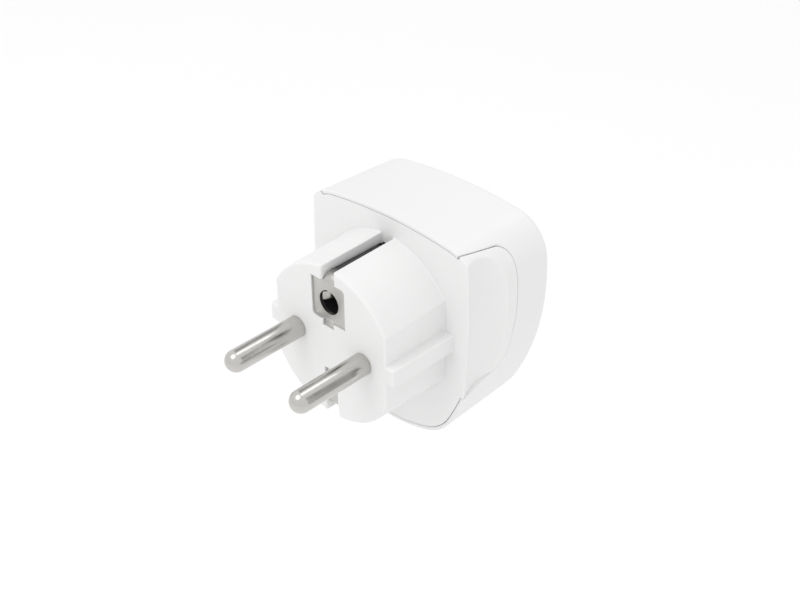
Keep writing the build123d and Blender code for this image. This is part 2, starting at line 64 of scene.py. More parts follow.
def addCamera():
    data = bpy.data.cameras.new("camera")
    data.lens = camera["lens"]
    data.sensor_width = camera["sensor"]
    data.clip_start = 0.01
    data.clip_end = 20
    view = bpy.data.objects.new("camera", data)
    place = Vector(camera["place"]) * mm
    look = (Vector(camera["aim"]) * mm - place).to_track_quat("-Z", "Y").to_matrix().to_4x4()
    roll = Matrix.Rotation(math.radians(camera["roll"]), 4, "Z")
    view.matrix_world = Matrix.Translation(place) @ look @ roll
    bpy.context.scene.collection.objects.link(view)
    bpy.context.scene.camera = view


addCamera()
print("camera set")


# ---------- materials

def newMaterial(name):
    material = bpy.data.materials.new(name)
    material.use_nodes = True
    nodes = material.node_tree.nodes
    return material, nodes, material.node_tree.links, nodes["Principled BSDF"]


def objectCoords(nodes, links, scale=(1, 1, 1)):
    coords = nodes.new("ShaderNodeTexCoord")
    mapping = nodes.new("ShaderNodeMapping")
    mapping.inputs["Scale"].default_value = scale
    links.new(coords.outputs["Object"], mapping.inputs["Vector"])
    return mapping.outputs["Vector"]


def noiseFrom(nodes, links, vector, scale, detail=2.0):
    noise = nodes.new("ShaderNodeTexNoise")
    noise.inputs["Scale"].default_value = scale
    noise.inputs["Detail"].default_value = detail
    links.new(vector, noise.inputs["Vector"])
    return noise.outputs["Fac"]


def remap(nodes, links, value, low, high, fromLow=0.3, fromHigh=0.7):
    ramp = nodes.new("ShaderNodeMapRange")
    ramp.inputs["From Min"].default_value = fromLow
    ramp.inputs["From Max"].default_value = fromHigh
    ramp.inputs["To Min"].default_value = low
    ramp.inputs["To Max"].default_value = high
    links.new(value, ramp.inputs["Value"])
    return ramp.outputs["Result"]


def mixColours(nodes, links, factor, first, second):
    mix = nodes.new("ShaderNodeMix")
    mix.data_type = "RGBA"
    mix.inputs["A"].default_value = (*first, 1)
    mix.inputs["B"].default_value = (*second, 1)
    links.new(factor, mix.inputs["Factor"])
    return mix.outputs["Result"]


def addBump(nodes, links, shader, layers):
    # layers are (height output, strength, distance in mm), laid one over the other
    normal = None
    for height, strength, distance in layers:
        bump = nodes.new("ShaderNodeBump")
        bump.inputs["Strength"].default_value = strength
        bump.inputs["Distance"].default_value = distance * mm
        links.new(height, bump.inputs["Height"])
        if normal:
            links.new(normal, bump.inputs["Normal"])
        normal = bump.outputs["Normal"]
    links.new(normal, shader.inputs["Normal"])


def mouldedPlastic(name, look):
    # spark-eroded mould grain, faint flow mottling and uneven gloss
    material, nodes, links, shader = newMaterial(name)
    vector = objectCoords(nodes, links)
    mottle = noiseFrom(nodes, links, vector, look["mottleScale"], 3)
    links.new(mixColours(nodes, links, mottle, look["colour"], look["shade"]), shader.inputs["Base Color"])
    gloss = noiseFrom(nodes, links, vector, look["glossScale"], 4)
    links.new(remap(nodes, links, gloss, *look["roughness"]), shader.inputs["Roughness"])
    grain = noiseFrom(nodes, links, vector, look["grainScale"], 2)
    wave = noiseFrom(nodes, links, vector, look["waveScale"], 1)
    addBump(nodes, links, shader, [(wave, 0.15, look["waveDepth"]),
                                   (grain, look["grain"], look["grainDepth"])])
    shader.inputs["IOR"].default_value = 1.5
    shader.inputs["Subsurface Weight"].default_value = look.get("glow", 0.0)
    shader.inputs["Subsurface Radius"].default_value = (1.0, 0.95, 0.9)
    shader.inputs["Subsurface Scale"].default_value = 0.6 * mm
    return material


def platedMetal(name, look):
    # plating over drawn or stamped metal: fine lines along one direction and worn, cloudy gloss
    material, nodes, links, shader = newMaterial(name)
    shader.inputs["Metallic"].default_value = 1.0
    cloud = noiseFrom(nodes, links, objectCoords(nodes, links), look["cloudScale"], 4)
    links.new(mixColours(nodes, links, cloud, look["colour"], look["shade"]), shader.inputs["Base Color"])
    links.new(remap(nodes, links, cloud, *look["roughness"]), shader.inputs["Roughness"])
    lines = noiseFrom(nodes, links, objectCoords(nodes, links, look["lineStretch"]), look["lineScale"], 3)
    pits = noiseFrom(nodes, links, objectCoords(nodes, links), look["cloudScale"] * 9, 2)
    addBump(nodes, links, shader, [(pits, 0.12, 0.02), (lines, look["lines"], 0.02)])
    return material


whiteLook = {
    "colour": (0.82, 0.817, 0.815),
    "shade": (0.80, 0.797, 0.795),
    "mottleScale": 60,
    "glossScale": 220,
    "roughness": (0.42, 0.54),
    "grainScale": 5200,
    "grain": 0.22,
    "grainDepth": 0.02,
    "waveScale": 90,
    "waveDepth": 0.05,
    "glow": 0.12,
}
metalLook = {
    "colour": (0.60, 0.59, 0.57),
    "shade": (0.53, 0.52, 0.50),
    "cloudScale": 240,
    "roughness": (0.17, 0.29),
    "lineStretch": (1, 14, 1),
    "lineScale": 420,
    "lines": 0.10,
}


def metalVariant(name, colour, shade, **changes):
    return platedMetal(name, {**metalLook, "colour": colour, "shade": shade, **changes})


def plasticVariant(name, colour, shade, roughness, grain=0.2):
    return mouldedPlastic(name, {**whiteLook, "colour": colour, "shade": shade, "roughness": roughness,
                                 "grain": grain, "glow": 0.0})


finishes = {
    "shell_plastic": mouldedPlastic("shellWhite", {**whiteLook, "colour": (0.82, 0.807, 0.81)}),
    "cover_plastic": mouldedPlastic("coverWhite", whiteLook),
    "cup_plastic": mouldedPlastic("cupWhite", {**whiteLook, "roughness": (0.34, 0.46), "grain": 0.12}),
    "nickel": platedMetal("nickelPlate", metalLook),
    "spring_steel": metalVariant("springSteel", (0.56, 0.56, 0.55), (0.47, 0.47, 0.46),
                                 lineStretch=(14, 1, 1)),
    "contact_brass": metalVariant("contactBrass", (0.72, 0.52, 0.24), (0.60, 0.42, 0.19)),
    "shunt_alloy": metalVariant("shuntAlloy", (0.58, 0.44, 0.34), (0.5, 0.36, 0.28)),
    "copper_wire": metalVariant("copperWire", (0.66, 0.29, 0.12), (0.55, 0.22, 0.09),
                                lineStretch=(1, 30, 1), lines=0.5),
    "can_aluminium": metalVariant("canAluminium", (0.75, 0.76, 0.77), metalLook["shade"]),
}
# name, colour, second colour, range of roughness and, where it isn't the usual one, grain
innerPlastics = {
    "dark_plastic": ("darkPlastic", (0.010, 0.010, 0.011), (0.018, 0.018, 0.019), (0.5, 0.7)),
    "relay_plastic": ("relayBlue", (0.03, 0.07, 0.17), (0.04, 0.08, 0.19), (0.3, 0.45)),
    "carrier_plastic": ("shutterWhite", (0.62, 0.61, 0.58), (0.56, 0.55, 0.52), (0.4, 0.5)),
    "capacitor_box": ("capacitorYellow", (0.62, 0.50, 0.08), (0.55, 0.44, 0.07), (0.3, 0.4)),
    "varistor_coat": ("varistorBlue", (0.05, 0.12, 0.34), (0.06, 0.14, 0.38), (0.15, 0.3)),
    "ferrite": ("ferrite", (0.035, 0.035, 0.036), (0.05, 0.05, 0.05), (0.6, 0.8), 0.6),
    "board": ("solderMask", (0.02, 0.13, 0.06), (0.025, 0.16, 0.075), (0.25, 0.4), 0.1),
    "led_body": ("ledBody", (0.72, 0.68, 0.45), (0.68, 0.64, 0.40), (0.2, 0.3), 0.05),
}
for plasticSlot, plasticLook in innerPlastics.items():
    finishes[plasticSlot] = plasticVariant(*plasticLook)


def frostedClear():
    material, nodes, links, shader = newMaterial("frostedClear")
    vector = objectCoords(nodes, links)
    haze = noiseFrom(nodes, links, vector, 500, 3)
    shader.inputs["Base Color"].default_value = (0.93, 0.95, 0.96, 1)
    shader.inputs["Transmission Weight"].default_value = 0.8
    shader.inputs["IOR"].default_value = 1.49
    links.new(remap(nodes, links, haze, 0.25, 0.5), shader.inputs["Roughness"])
    addBump(nodes, links, shader, [(haze, 0.1, 0.02)])
    return material


finishes["light_pipe"] = frostedClear()


def earthNickel():
    # the same plating, a little duller and darker all over, with painted shade on the stretch that lies in
    # its groove, where the colour is mixed to near black
    material, nodes, links, shader = newMaterial("earthNickel")
    vector = objectCoords(nodes, links)
    split = nodes.new("ShaderNodeSeparateXYZ")
    links.new(vector, split.inputs["Vector"])
    # painted shade mask: 1 deeper than 3.6 mm into the plug, where the strap lies in its groove, falling to 0
    # towards the face
    grooveShade = remap(nodes, links, split.outputs["Y"], 1.0, 0.0, -0.0036, -0.0012)
    cloud = noiseFrom(nodes, links, vector, 240, 4)
    shader.inputs["Metallic"].default_value = 1.0
    plated = mixColours(nodes, links, cloud, (0.56, 0.555, 0.535), (0.50, 0.495, 0.475))
    mix = nodes.new("ShaderNodeMix")
    mix.data_type = "RGBA"
    # near black: the painted shade on the stretch in the groove
    mix.inputs["B"].default_value = (0.12, 0.12, 0.12, 1)
    links.new(plated, mix.inputs["A"])
    links.new(grooveShade, mix.inputs["Factor"])
    links.new(mix.outputs["Result"], shader.inputs["Base Color"])
    links.new(remap(nodes, links, cloud, 0.24, 0.38), shader.inputs["Roughness"])
    lines = noiseFrom(nodes, links, objectCoords(nodes, links, (14, 1, 1)), 420, 3)
    addBump(nodes, links, shader, [(lines, 0.10, 0.02)])
    return material


slotOfNode = {part["node"]: part["material_slot"] for part in frame["record"]["subparts"]}
for nodeName, nodeObject in frame["nodes"].items():
    nodeObject.data.materials.clear()
    nodeObject.data.materials.append(finishes[slotOfNode[nodeName]])
print("materials:", len(finishes))


# ---------- meshes from grids

def gridFaces(rows, columns, first=0):
    # each cell of the grid of points is one face
    index = np.arange(rows * columns).reshape(rows, columns) + first
    corners = (index[:-1, :-1], index[:-1, 1:], index[1:, 1:], index[1:, :-1])
    return np.stack([corner.ravel() for corner in corners], axis=1)


def addPiece(name, grids, slotName, body, nodeNames, caps=(), sharp=38):
    # grids are arrays (rows, columns, 3) in mm; caps are closed loops (points, 3) filled flat.
    # Grids that share an edge, and a grid that closes on itself, are welded.
    points, faces = [], []
    count = 0
    for grid in grids:
        rows, columns = grid.shape[:2]
        points.append(grid.reshape(-1, 3))
        faces.extend(gridFaces(rows, columns, count).tolist())
        count += rows * columns
    for loop in caps:
        points.append(loop)
        faces.append(list(range(count, count + len(loop))))
        count += len(loop)
    mesh = bpy.data.meshes.new(name)
    mesh.from_pydata((np.concatenate(points) * mm).tolist(), [], faces)
    work = bmesh.new()
    work.from_mesh(mesh)
    bmesh.ops.remove_doubles(work, verts=work.verts, dist=0.002 * mm)
    bmesh.ops.dissolve_degenerate(work, edges=work.edges, dist=0.0005 * mm)
    bmesh.ops.recalc_face_normals(work, faces=work.faces)
    work.to_mesh(mesh)
    work.free()
    mesh.shade_smooth()
    mesh.set_sharp_from_angle(angle=math.radians(sharp))
    mesh.materials.append(finishes[slotName])
    piece = bpy.data.objects.new(name, mesh)
    bpy.context.scene.collection.objects.link(piece)
    if body:
        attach(piece, body)
    if nodeNames:
        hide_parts(*nodeNames)
    return piece


def cutWith(piece, cutters, sharp=38):
    # takes the cutters out of the piece for good
    for cutter in cutters:
        cut = piece.modifiers.new("cut", "BOOLEAN")
        cut.operation = "DIFFERENCE"
        cut.solver = "EXACT"
        cut.object = cutter
    bpy.context.view_layer.update()
    seen = piece.evaluated_get(bpy.context.evaluated_depsgraph_get())
    mesh = bpy.data.meshes.new_from_object(seen)
    piece.modifiers.clear()
    oldMesh = piece.data
    piece.data = mesh
    mesh.name = oldMesh.name
    bpy.data.meshes.remove(oldMesh)
    mesh.shade_smooth()
    mesh.set_sharp_from_angle(angle=math.radians(sharp))
    for cutter in cutters:
        bpy.data.objects.remove(cutter)


def closedLoop(points):
    return np.concatenate([points, points[:1]])


def roundedPath(corners, radii, step=0.12, closed=False, fixed=None):
    # straight runs joined by tangent arcs, sampled about every step mm, or with a fixed number of
    # points on each arc and on each run
    corners = [np.array(corner, float) for corner in corners]
    out = []
    last = len(corners) - 1
    for number, (corner, radius) in enumerate(zip(corners, radii)):
        if radius == 0 or (not closed and number in (0, last)):
            out.append(corner[None])
            continue
        before = corners[number - 1] - corner
        after = corners[(number + 1) % len(corners)] - corner
        before /= np.linalg.norm(before)
        after /= np.linalg.norm(after)
        half = math.acos(np.clip(before @ after, -1, 1)) / 2
        middle = (before + after) / np.linalg.norm(before + after)
        centre = corner + middle * radius / math.sin(half)
        start = corner + before * radius / math.tan(half) - centre
        end = corner + after * radius / math.tan(half) - centre
        sweep = math.pi - 2 * half
        share = np.linspace(0, 1, fixed[0] if fixed else max(4, int(sweep * radius / step)))[:, None]
        arc = (np.sin((1 - share) * sweep) * start + np.sin(share * sweep) * end) / math.sin(sweep)
        out.append(centre + arc)
    path = np.concatenate(out)
    if closed:
        path = closedLoop(path)
    if not fixed:
        path = path[np.concatenate([[True], np.linalg.norm(np.diff(path, axis=0), axis=1) > 1e-5])]
    runs = np.linalg.norm(np.diff(path, axis=0), axis=1)
    filled = [path[:1]]
    for start, end, run in zip(path[:-1], path[1:], runs):
        share = np.linspace(0, 1, fixed[1] if fixed else max(2, int(run / (4 * step)) + 1))[1:, None]
        filled.append(start + share * (end - start))
    return np.concatenate(filled)


def evenly(path, count):
    # the same path with count points at equal spacing
    length = np.concatenate([[0], np.cumsum(np.linalg.norm(np.diff(path, axis=0), axis=1))])
    wanted = np.linspace(0, length[-1], count)
    return np.stack([np.interp(wanted, length, path[:, axis]) for axis in range(path.shape[1])], axis=1)


def leftNormals(path, closed=False):
    # unit normals of a plane path, on its left
    if closed:
        along = np.roll(path[:-1], -1, axis=0) - np.roll(path[:-1], 1, axis=0)
        along = closedLoop(along)
    else:
        along = np.gradient(path, axis=0)
    along /= np.linalg.norm(along, axis=1)[:, None]
    return np.stack([-along[:, 1], along[:, 0]], axis=1)


def revolved(profile, x, z, segments=72):
    # profile (y, radius) turned about the line through x, z along Y
    angle = np.linspace(0, turn, segments + 1)
    y, radius = profile[:, 0][:, None], profile[:, 1][:, None]
    return np.stack([x + radius * np.cos(angle), y + 0 * angle, z + radius * np.sin(angle)], axis=2)


def prismGrid(loop, depths):
    # a closed loop (x, z) carried from depth to depth
    rows = [np.stack([loop[:, 0], np.full(len(loop), -depth), loop[:, 1]], axis=1) for depth in depths]
    return np.stack(rows)


# ---------- housing surface

housing = {
    "halfWidth": 25.0,
    "topZ": 23.4,
    "bottomZ": -28.1,
    "topRadius": 118.0,
    "bottomRadius": 32.8,
    "sideRadius": 58.5,
    "sideZ": 7.5,
    "upperCorner": 10.0,
    "lowerCorner": 12.0,
    "draft": 0.6,
    "back": 17.0,
    "front": 40.5,
    "frontRound": 2.4,
    "rim": 0.8,
    "plate": 1.7,
    "wall": 1.8,
    "edge": 0.14,           # small rounds along the seams
    "seamGap": 0.12,
    "seamDepth": 0.3,
    "mouthRound": 0.15,
    # the mouth's edge, as how far past the mouth's radius and at which depth
    "mouthEdge": [(0.04, 40.46), (0.0, 40.35), (0.0, 39.5)],
    "seatRadius": 20.65,    # where the cup's flange sits
    "seatDepths": (39.5, 38.5),
    "slotDepths": (37.0, 42.0),     # the button and light guide holes are cut between these
    "guideGap": 0.05,
    "underPlugX": 15.0,     # the wall plate ends on this ellipse under the plug body
    "underPlugZ": 16.3,
}
# the seam of the side cheek, seen from the side, as depth and height, with the round at each corner
cheekSeam = {
    "corners": [(17.0, 21.3), (28.9, 19.8), (29.25, 7.0), (28.0, -7.0), (17.0, -12.6)],
    "rounds": [0, 3.2, 110.0, 2.0, 0],
}
scoop = {
    "radius": 7.3,
    "x": 28.9,
    "depth": 20.0,
    "bow": 195.0,
    "z": 5.0,
    "ledge": 0.3,           # softness of the ledge where the scoop leaves the side
}


def crossing(x1, z1, r1, x2, z2, r2, side):
    # where two circles cross, on the wanted side
    dx, dz = x2 - x1, z2 - z1
    apart = np.hypot(dx, dz)
    along = (r1 ** 2 - r2 ** 2 + apart ** 2) / (2 * apart)
    across = np.sqrt(r1 ** 2 - along ** 2) * side
    return x1 + (along * dx - across * dz) / apart, z1 + (along * dz + across * dx) / apart


def contour(angle, depth, inset=0.0):
    # Point of the right half of the outline whose outward normal has this angle. The outline is
    # five tangent arcs: top, upper corner, side, lower corner and bottom. Each point is an arc's
    # centre plus its radius along the normal, less the inset.
    h = housing
    angle, depth, inset = np.broadcast_arrays(np.asarray(angle, float), depth, inset)
    share = (depth - h["back"]) / (h["front"] - h["back"])
    shrink = h["draft"] * share
    upper = h["upperCorner"]
    topZ = h["topZ"] - h["topRadius"]
    sideX = h["halfWidth"] - h["sideRadius"]
    bottomZ = h["bottomZ"] + h["bottomRadius"]
    topR, sideR, bottomR = h["topRadius"] - shrink, h["sideRadius"] - shrink, h["bottomRadius"] - shrink
    lower = h["lowerCorner"]
    ux, uz = crossing(0.0, topZ, topR - upper, sideX, h["sideZ"], sideR - upper, -1)
    lx, lz = crossing(0.0, bottomZ, bottomR - lower, sideX, h["sideZ"], sideR - lower, 1)
    turns = [
        np.arctan2(uz - topZ, ux),
        np.arctan2(uz - h["sideZ"], ux - sideX),
        np.arctan2(lz - h["sideZ"], lx - sideX),
        np.arctan2(lz - bottomZ, lx),
    ]
    choice = [angle >= turns[0], angle >= turns[1], angle >= turns[2], angle >= turns[3]]
    zero = np.zeros_like(angle)
    x = np.select(choice, [zero, ux, sideX + zero, lx], zero)
    z = np.select(choice, [topZ + zero, uz, h["sideZ"] + zero, lz], bottomZ + zero)
    radius = np.select(choice, [topR, upper + zero, sideR, lower + zero], bottomR) - inset
    return x + radius * np.cos(angle), z + radius * np.sin(angle)


def angleAtHeight(z, depth):
    # the normal angle at which the outline is at height z, by halving
    z, depth = np.broadcast_arrays(np.asarray(z, float), depth)
    low = np.full(z.shape, -math.pi / 2)
    high = np.full(z.shape, math.pi / 2)
    for _ in range(44):
        middle = (low + high) / 2
        above = contour(middle, depth)[1] > z
        high = np.where(above, middle, high)
        low = np.where(above, low, middle)
    return (low + high) / 2


def evenAngles(start, end, count, depth):
    # normal angles that step evenly along the outline
    dense = np.linspace(start, end, 4000)
    x, z = contour(dense, depth)
    length = np.concatenate([[0], np.cumsum(np.hypot(np.diff(x), np.diff(z)))])
    return np.interp(np.linspace(0, length[-1], count), length, dense)


def seam(count):
    # the cheek's seam and its outward normals, both as (depth, height)
    path = evenly(roundedPath(cheekSeam["corners"], cheekSeam["rounds"]), count)
    return path, leftNormals(path)


def softMin(a, b, softness):
    # the smaller of two surfaces, with a rounded edge where they meet
    share = np.clip(0.5 + 0.5 * (b - a) / softness, 0, 1)
    return b + (a - b) * share - softness * share * (1 - share)


def scoopX(z, depth):
    # the finger scoop: a round cutter of the scoop's radius carried along a wide upright bow
    across = scoop["radius"] ** 2 - (depth - scoop["depth"]) ** 2
    ring = scoop["bow"] - np.sqrt(np.maximum(across, 0))
    x = scoop["x"] - scoop["bow"] + np.sqrt(ring ** 2 - (z - scoop["z"]) ** 2)
    return np.where(across > 0, x, 99.0)


def cheekSurface(depth, z, drop=0.0):
    # the side of the housing, hollowed by the scoop, moved in by drop along the outline's normal
    angle = angleAtHeight(z, depth)
    x = softMin(contour(angle, depth)[0], scoopX(z, depth), scoop["ledge"])
    return np.stack([x - drop * np.cos(angle), -depth, z - drop * np.sin(angle)], axis=-1)


def mirroredLoop(right):
    # right half columns, then the left half back to the start
    left = right[:, ::-1] * np.array([-1, 1, 1])
    return np.concatenate([right, left[:, 1:]], axis=1)


columnCounts = {"top": 60, "seam": 150, "bottom": 80}
roundSteps = np.linspace(0, math.pi / 2, 7)


def frontShell():
    # Columns run round the rear edge of the shell: along the rim, round the cheek's seam, along the
    # rim again. Rows go from inside that edge, over it, forward to the front face and into the mouth,
    # and back inside, so that the shell closes on itself.
    h = housing
    gap, edge = h["seamGap"], h["edge"]
    path, normal = seam(columnCounts["seam"])
    startAngle = float(angleAtHeight(cheekSeam["corners"][0][1] + gap, h["back"]))
    endAngle = float(angleAtHeight(cheekSeam["corners"][-1][1] - gap, h["back"]))
    top = evenAngles(math.pi / 2, startAngle, columnCounts["top"], h["back"])[:-1]
    bottom = evenAngles(endAngle, -math.pi / 2, columnCounts["bottom"], h["back"])[1:]
    frontMiddle = evenAngles(startAngle, endAngle, columnCounts["seam"], h["front"])
    frontAngle = np.concatenate([top, frontMiddle, bottom])
    onSeam = np.repeat([False, True, False], [len(top), len(path), len(bottom)])

    def boundary(offset, inset):
        # a point of the rear edge, moved forward by offset and in by inset
        along = path + (gap + offset) * normal
        seamDepth = np.maximum(along[:, 0], h["back"] + 0.01)
        seamAngle = angleAtHeight(along[:, 1], seamDepth)
        angle = np.concatenate([top, seamAngle, bottom])
        depth = np.where(onSeam, np.concatenate([top, seamDepth, bottom]), h["back"] + offset)
        return angle, depth, np.full(len(angle), inset)

    def place(angle, depth, inset):
        x, z = contour(angle, depth, inset)
        return np.stack([x, 0 * x - depth, z], axis=1)

    rows = []
    for insideSeam, insideRim, inRim in ((2.0, 1.9, 0.0), (h["rim"] + edge, h["plate"], h["rim"]),
                                        (h["rim"], edge, h["rim"]), (h["rim"] - 0.1, 0.0, h["rim"] - edge)):
        rimRow = place(*boundary(insideRim, inRim))
        seamRow = place(*boundary(0.0, insideSeam))
        rows.append(np.where(onSeam[:, None], seamRow, rimRow))
    rows[0] = np.where(onSeam[:, None], rows[0], place(*boundary(h["plate"], h["wall"])))
    for step in roundSteps:
        angle, depth, _ = boundary(edge * (1 - math.cos(step)), 0.0)
        rows.append(place(angle, depth, edge * (1 - math.sin(step))))
    angle, depth, _ = boundary(edge, 0.0)
    flatEnd = h["front"] - h["frontRound"]
    for share in np.linspace(0, 1, 30)[1:]:
        rows.append(place(angle + (frontAngle - angle) * share, depth + (flatEnd - depth) * share, 0.0))
    for step in np.linspace(0, math.pi / 2, 12)[1:]:
        rows.append(place(frontAngle, flatEnd + h["frontRound"] * math.sin(step),
                          h["frontRound"] * (1 - math.cos(step))))
    # front face in to the mouth
    face = rows[-1]
    polar = np.arctan2(face[:, 2], face[:, 0])
    mouth = cup["flange"] + cup["seatGap"]
    rim = mouth + h["mouthRound"]
    edgeRow = np.stack([rim * np.cos(polar), face[:, 1], rim * np.sin(polar)], axis=1)
    for share in (0.15, 0.5, 0.85, 1.0):
        rows.append(face + (edgeRow - face) * share)
    steps = [(mouth + past, depth) for past, depth in h["mouthEdge"]]
    steps += [(h["seatRadius"], depth) for depth in h["seatDepths"]]
    for radius, depth in steps:
        rows.append(np.stack([radius * np.cos(polar), np.full(len(polar), -depth),
                              radius * np.sin(polar)], axis=1))
    # inner face and inner wall
    innerFront = h["front"] - 2.0
    rows.append(place(frontAngle, innerFront, h["wall"] + 1.2))
    rows.append(place(frontAngle, innerFront - 1.2, h["wall"] + 0.1))
    angle, depth, _ = boundary(edge, 0.0)
    for share in np.linspace(1, 0, 12)[1:-1]:
        mixed = angle + (frontAngle - angle) * share
        rows.append(place(mixed, depth + (innerFront - 1.2 - depth) * share, h["wall"] + 0.1))
    rows.append(rows[0])
    grid = mirroredLoop(np.stack(rows))
    piece = addPiece("frontShell", [grid], "shell_plastic", "meter", ["front_shell"])
    slot = stadium(button["z"], button["width"] + 2 * button["gap"], button["height"] + 2 * button["gap"])
    hole = circleLoop(guide["x"], guide["z"], guide["radius"] + h["guideGap"])
    for opening in (slot, hole):
        cutWith(piece, [prismPiece("cutter", opening, *h["slotDepths"])])


def rearPlateAndCheeks():
    # The wall plate is a ring from its outer edge in to under the plug body. Each cheek is a fan
    # between the plate's edge and the seam, with both edges rounded over.
    h = housing
    edge = h["edge"]
    path, normal = seam(columnCounts["seam"])
    upperZ, lowerZ = cheekSeam["corners"][0][1], cheekSeam["corners"][-1][1]
    lineZ = np.linspace(upperZ - edge, lowerZ + edge, len(path))
    inset = h["rim"] + h["seamGap"]
    rows = []
    for step in roundSteps:
        rows.append(cheekSurface(np.full(len(path), h["back"] + edge * (1 - math.cos(step))), lineZ,
                                 edge * (1 - math.sin(step))))
    start = np.stack([np.full(len(path), h["back"] + edge), lineZ], axis=1)
    finish = path - edge * normal
    finish[:, 0] = np.maximum(finish[:, 0], h["back"] + edge)
    for share in np.linspace(0, 1, 90)[1:]:
        flat = start + (finish - start) * share
        rows.append(cheekSurface(flat[:, 0], flat[:, 1]))
    for step in roundSteps[1:]:
        flat = path - edge * (1 - math.sin(step)) * normal
        rows.append(cheekSurface(np.maximum(flat[:, 0], h["back"]), flat[:, 1], edge * (1 - math.cos(step))))
    for drop in (0.9, 1.6):
        rows.append(cheekSurface(np.maximum(path[:, 0], h["back"]), path[:, 1], drop))
    cheek = np.stack(rows)

    top = evenAngles(math.pi / 2, float(angleAtHeight(upperZ, h["back"])), columnCounts["top"], h["back"])
    bottom = evenAngles(float(angleAtHeight(lowerZ, h["back"])), -math.pi / 2,
                        columnCounts["bottom"], h["back"])

    def rimRow(angle, depth, extra):
        x, z = contour(angle, h["back"], inset + extra)
        return np.stack([x, np.full(len(angle), -depth), z], axis=1)

    outerRows = []
    edgeLine = cheek[0]
    for depth, extra in ([(h["back"] + h["plate"], 0.0), (h["back"] + h["seamDepth"] + 0.05, 0.0)]
                         + [(h["back"] + edge * (1 - math.sin(step)), edge * (1 - math.cos(step)))
                            for step in roundSteps]):
        outerRows.append(np.concatenate([rimRow(top, depth, extra), edgeLine, rimRow(bottom, depth, extra)]))
    outer = outerRows[-1]
    polar = np.arctan2(outer[:, 2], outer[:, 0])
    inner = np.stack([h["underPlugX"] * np.cos(polar), np.full(len(polar), -h["back"]),
                      h["underPlugZ"] * np.sin(polar)], axis=1)
    for share in (0.04, 0.3, 0.65, 1.0):
        outerRows.append(outer + (inner - outer) * share)
    ring = mirroredLoop(np.stack(outerRows))
    leftCheek = cheek * np.array([-1, 1, 1])
    return addPiece("wallPlate", [ring, cheek, leftCheek], "cover_plastic", "meter", ["rear_cover"])


# ---------- plug body

plug = {
    "radius": 18.0,
    "draft": 0.4,
    "depth": 17.0,
    "flat": 15.75,
    "rib": 17.9,
    "ribHalf": 2.05,
    "grooveHalf": 1.75,
    "channelFloor": 13.4,   # the dark core's channel shows above this
    "channelStart": 1.6,
    "bendFloor": 14.2,
    "faceRound": 0.5,
    "flare": 0.45,          # hollow round where the plug meets the plate
    "cornerRound": 0.22,
}


def plugLoop(grow, draft, floor):
    # outline of the plug body moved out by grow: round, with side flats, guide ribs and two grooves
    p = plug
    radius, half, flat = p["radius"] + draft + grow, p["grooveHalf"] - grow, p["flat"] + grow
    rib, ribHalf = p["rib"] + draft / 2 + grow, p["ribHalf"] + grow
    arcStart, arcEnd = math.acos(half / radius), math.acos(flat / radius)
    arc = [(radius * math.cos(a), radius * math.sin(a)) for a in np.linspace(arcStart, arcEnd, 90)]
    quarter = [(0.0, floor), (half, floor)] + arc + [(flat, ribHalf), (rib, ribHalf)]
    convex, hollow = max(p["cornerRound"] + grow, 0.04), max(p["cornerRound"] - grow, 0.04)
    rounds = [0, hollow] + [min(convex, 0.2)] + [0] * (len(arc) - 2) + [0.2, hollow, convex]
    right = quarter + [(x, -z) for x, z in quarter[::-1]]
    left = [(-x, z) for x, z in right[::-1]][1:-1]
    rounds = rounds + rounds[::-1]
    return roundedPath(right + left, rounds + rounds[::-1][1:-1], closed=True, fixed=(6, 3))


def plugBody():
    # The outline is carried from the plate to the face with a slight taper, flared where it meets
    # the plate and rounded over at the face; both ends are flat.
    p = plug
    rows = []

    def row(depth, grow, floor):
        flat = plugLoop(grow, p["draft"] * depth / p["depth"], floor)
        rows.append(np.stack([flat[:, 0], np.full(len(flat), -depth), flat[:, 1]], axis=1))

    low, high = p["channelFloor"], p["bendFloor"]
    for step in np.linspace(math.pi / 2, 0, 7):
        row(p["depth"] - p["flare"] * (1 - math.sin(step)), p["flare"] * (1 - math.cos(step)), low)
    for share in (0.75, 0.5, 0.25):
        row(p["channelStart"] + (p["depth"] - p["flare"] - p["channelStart"]) * share, 0.0, low)
    row(p["channelStart"], 0.0, low)
    row(p["channelStart"], 0.0, high)
    row((p["channelStart"] + p["faceRound"]) / 2, 0.0, high)
    for step in np.linspace(0, math.pi / 2, 9):
        row(p["faceRound"] * (1 - math.sin(step)), -p["faceRound"] * (1 - math.cos(step)), high)
    row(0.0, -p["faceRound"] - 0.1, high)
    grid = np.stack(rows)
    return addPiece("plugBody", [grid], "cover_plastic", "meter", ["rear_cover"],
                    caps=[grid[0][:-1], grid[-1][:-1]])


print("building the housing")
cup = {
    "flange": 20.8,
    "seatGap": 0.15,
    "flangeDepth": 1.0,
    "radius": 20.5,
    "recess": 19.5,
    "recessFlat": 16.9,
    "rib": 18.4,
    "ribHalf": 2.7,
    "chamfer": 0.5,
    "floor": 23.0,
    "back": 20.8,
    "holeRadius": 2.65,
    "holeX": 9.5,
    "screwHole": 1.5,
    "screwHead": 2.9,
    "screwSink": 1.1,
    "clipHalf": 2.0,
    "clipGap": 0.4,
    "slack": 0.02,          # the outside stays this much inside its radius
}


def prismPiece(name, loop, depthFrom, depthTo, slotName="cover_plastic", body=None, nodeNames=()):
    # a flat closed loop carried straight from one depth to the other
    grid = prismGrid(loop, [depthFrom, depthTo])
    return addPiece(name, [grid], slotName, body, nodeNames, caps=[grid[0][:-1], grid[-1][:-1]])


def circleLoop(x, z, radius, count=72):
    # the centre plus the radius times the cosine and sine of an even turn
    angle = np.linspace(0, turn, count + 1)
    return np.stack([x + radius * np.cos(angle), z + radius * np.sin(angle)], axis=1)


def boxLoop(xFrom, xTo, zFrom, zTo, radius=0.0):
    # four corners, each with the same round
    corners = [(xFrom, zFrom), (xTo, zFrom), (xTo, zTo), (xFrom, zTo)]
    return roundedPath(corners, [radius] * 4, closed=True)


